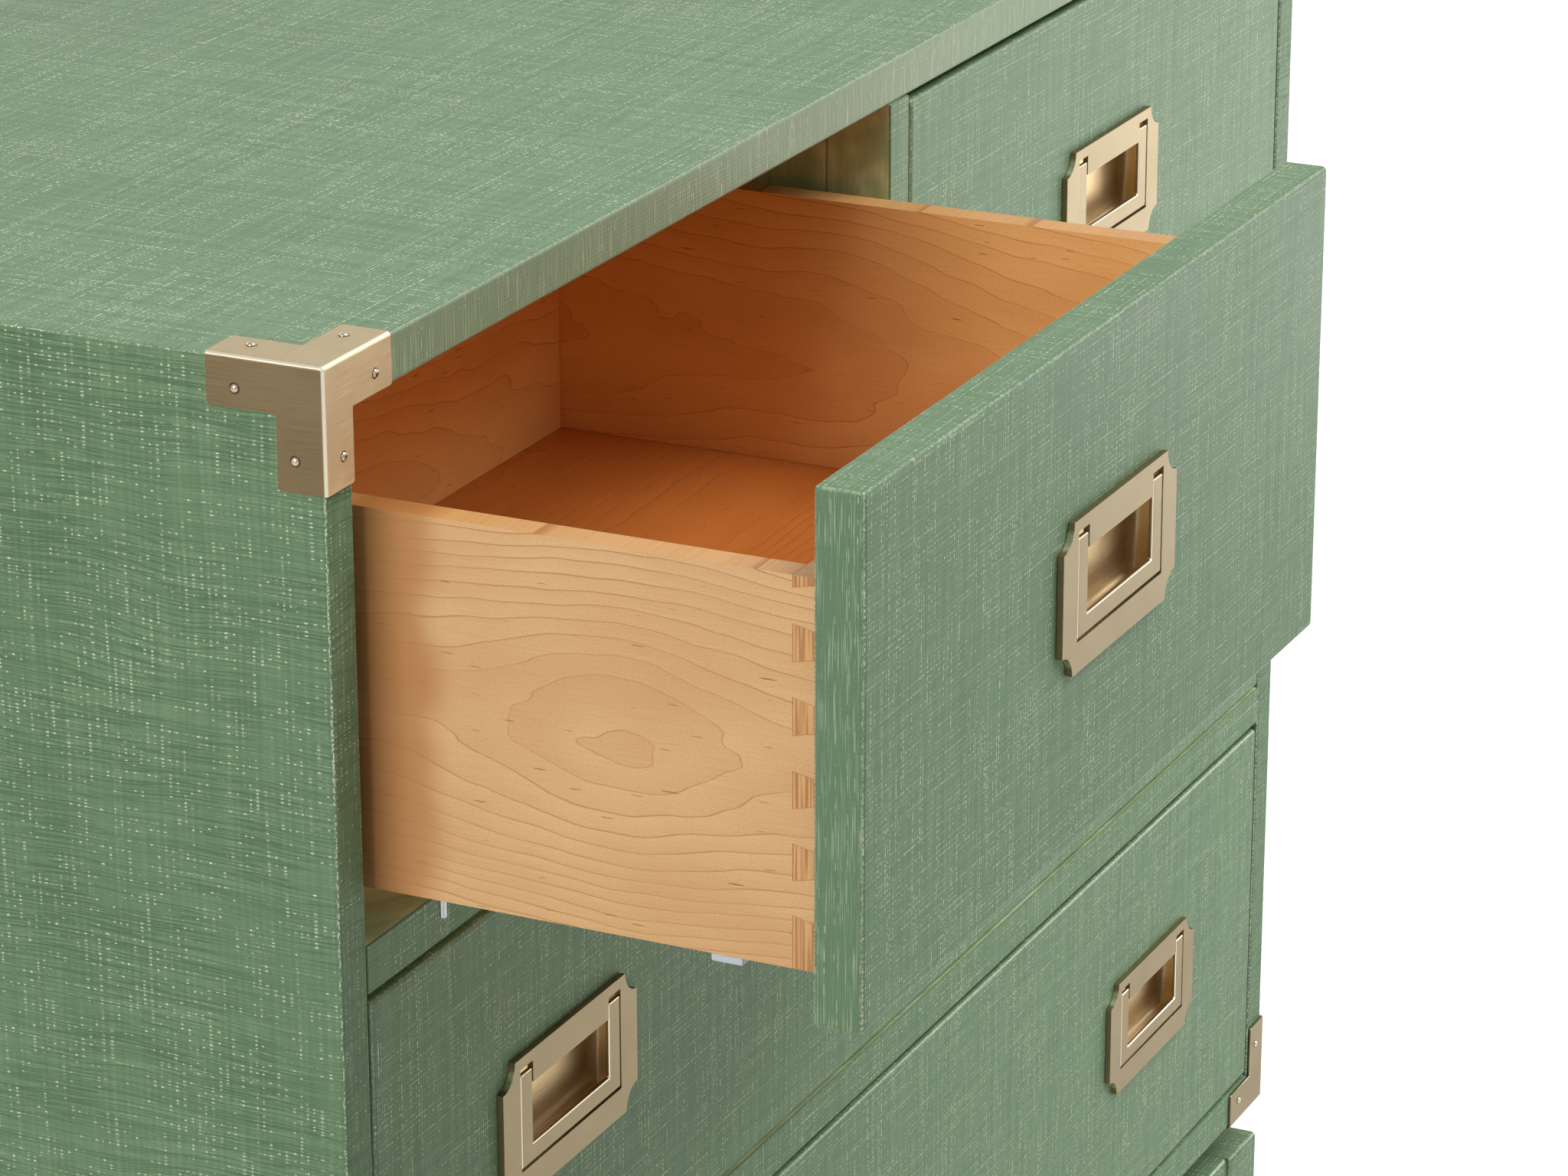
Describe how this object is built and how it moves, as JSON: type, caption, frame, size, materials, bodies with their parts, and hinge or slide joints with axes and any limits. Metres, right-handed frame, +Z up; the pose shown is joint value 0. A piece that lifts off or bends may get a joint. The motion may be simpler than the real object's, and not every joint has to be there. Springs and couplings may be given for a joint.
{
  "type": "campaign chest",
  "caption": "Painted campaign chest of drawers with brass corner brackets, flush recessed bail pulls, dovetailed maple drawer boxes on undermount slides and a low leg base.",
  "frame": {"origin": "on the floor, below the middle of the bounding box with the top left drawer standing open", "axes": "+X towards the chest's right side as seen from its front, -Y out of the drawer fronts, +Z up"},
  "size_m": [1.0208, 0.664, 0.8664],
  "materials": {
    "paint": "sea green paint brushed over a linen-like cross texture, pale worn edges",
    "maple": "oiled honey maple, satin",
    "brass": "brushed champagne brass",
    "steel": "zinc plated slide steel"
  },
  "bodies": {
    "case": {"top_panel": "paint", "left_side_panel": "paint", "right_side_panel": "paint", "back_panel": "paint", "case_bottom": "paint", "centre_divider": "paint", "upper_web_frame": "paint", "lower_web_frame": "paint", "base_left_frame": "paint", "base_right_frame": "paint", "base_front_apron": "paint", "base_back_apron": "paint", "bracket_top_left": "brass", "bracket_top_right": "brass", "bracket_bottom_left": "brass", "bracket_bottom_right": "brass", "top_left_drawer_left_slide": "steel", "top_left_drawer_right_slide": "steel", "top_right_drawer_left_slide": "steel", "top_right_drawer_right_slide": "steel", "middle_drawer_left_slide": "steel", "middle_drawer_right_slide": "steel", "bottom_drawer_left_slide": "steel", "bottom_drawer_right_slide": "steel"},
    "top_left_drawer": {"top_left_drawer_front": "paint", "top_left_drawer_sub_front": "maple", "top_left_drawer_left_side": "maple", "top_left_drawer_right_side": "maple", "top_left_drawer_back": "maple", "top_left_drawer_bottom": "maple", "top_left_pull_plate": "brass"},
    "top_left_bail": {"top_left_pull_bail": "brass"},
    "top_right_drawer": {"top_right_drawer_front": "paint", "top_right_drawer_sub_front": "maple", "top_right_drawer_left_side": "maple", "top_right_drawer_right_side": "maple", "top_right_drawer_back": "maple", "top_right_drawer_bottom": "maple", "top_right_pull_plate": "brass"},
    "top_right_bail": {"top_right_pull_bail": "brass"},
    "middle_drawer": {"middle_drawer_front": "paint", "middle_drawer_sub_front": "maple", "middle_drawer_left_side": "maple", "middle_drawer_right_side": "maple", "middle_drawer_back": "maple", "middle_drawer_bottom": "maple", "middle_left_pull_plate": "brass", "middle_right_pull_plate": "brass"},
    "middle_left_bail": {"middle_left_pull_bail": "brass"},
    "middle_right_bail": {"middle_right_pull_bail": "brass"},
    "bottom_drawer": {"bottom_drawer_front": "paint", "bottom_drawer_sub_front": "maple", "bottom_drawer_left_side": "maple", "bottom_drawer_right_side": "maple", "bottom_drawer_back": "maple", "bottom_drawer_bottom": "maple", "bottom_left_pull_plate": "brass", "bottom_right_pull_plate": "brass"},
    "bottom_left_bail": {"bottom_left_pull_bail": "brass"},
    "bottom_right_bail": {"bottom_right_pull_bail": "brass"}
  },
  "joints": [
    {"name": "top_left_drawer_slide", "type": "slide", "parent": "case", "child": "top_left_drawer", "axis": [0, -1, 0], "range_m": [-0.204, 0.061]},
    {"name": "top_left_bail_hinge", "type": "hinge", "parent": "top_left_drawer", "child": "top_left_bail", "pos_m": [-0.249, -0.33075, 0.75885], "axis": [-1, 0, 0], "range_deg": [0, 90]},
    {"name": "top_right_drawer_slide", "type": "slide", "parent": "case", "child": "top_right_drawer", "axis": [0, -1, 0], "range_m": [0, 0.265]},
    {"name": "top_right_bail_hinge", "type": "hinge", "parent": "top_right_drawer", "child": "top_right_bail", "pos_m": [0.249, -0.12675, 0.75885], "axis": [-1, 0, 0], "range_deg": [0, 90]},
    {"name": "middle_drawer_slide", "type": "slide", "parent": "case", "child": "middle_drawer", "axis": [0, -1, 0], "range_m": [0, 0.265]},
    {"name": "middle_left_bail_hinge", "type": "hinge", "parent": "middle_drawer", "child": "middle_left_bail", "pos_m": [-0.33, -0.12675, 0.52535], "axis": [-1, 0, 0], "range_deg": [0, 90]},
    {"name": "middle_right_bail_hinge", "type": "hinge", "parent": "middle_drawer", "child": "middle_right_bail", "pos_m": [0.33, -0.12675, 0.52535], "axis": [-1, 0, 0], "range_deg": [0, 90]},
    {"name": "bottom_drawer_slide", "type": "slide", "parent": "case", "child": "bottom_drawer", "axis": [0, -1, 0], "range_m": [0, 0.265]},
    {"name": "bottom_left_bail_hinge", "type": "hinge", "parent": "bottom_drawer", "child": "bottom_left_bail", "pos_m": [-0.33, -0.12675, 0.29185], "axis": [-1, 0, 0], "range_deg": [0, 90]},
    {"name": "bottom_right_bail_hinge", "type": "hinge", "parent": "bottom_drawer", "child": "bottom_right_bail", "pos_m": [0.33, -0.12675, 0.29185], "axis": [-1, 0, 0], "range_deg": [0, 90]}
  ]
}
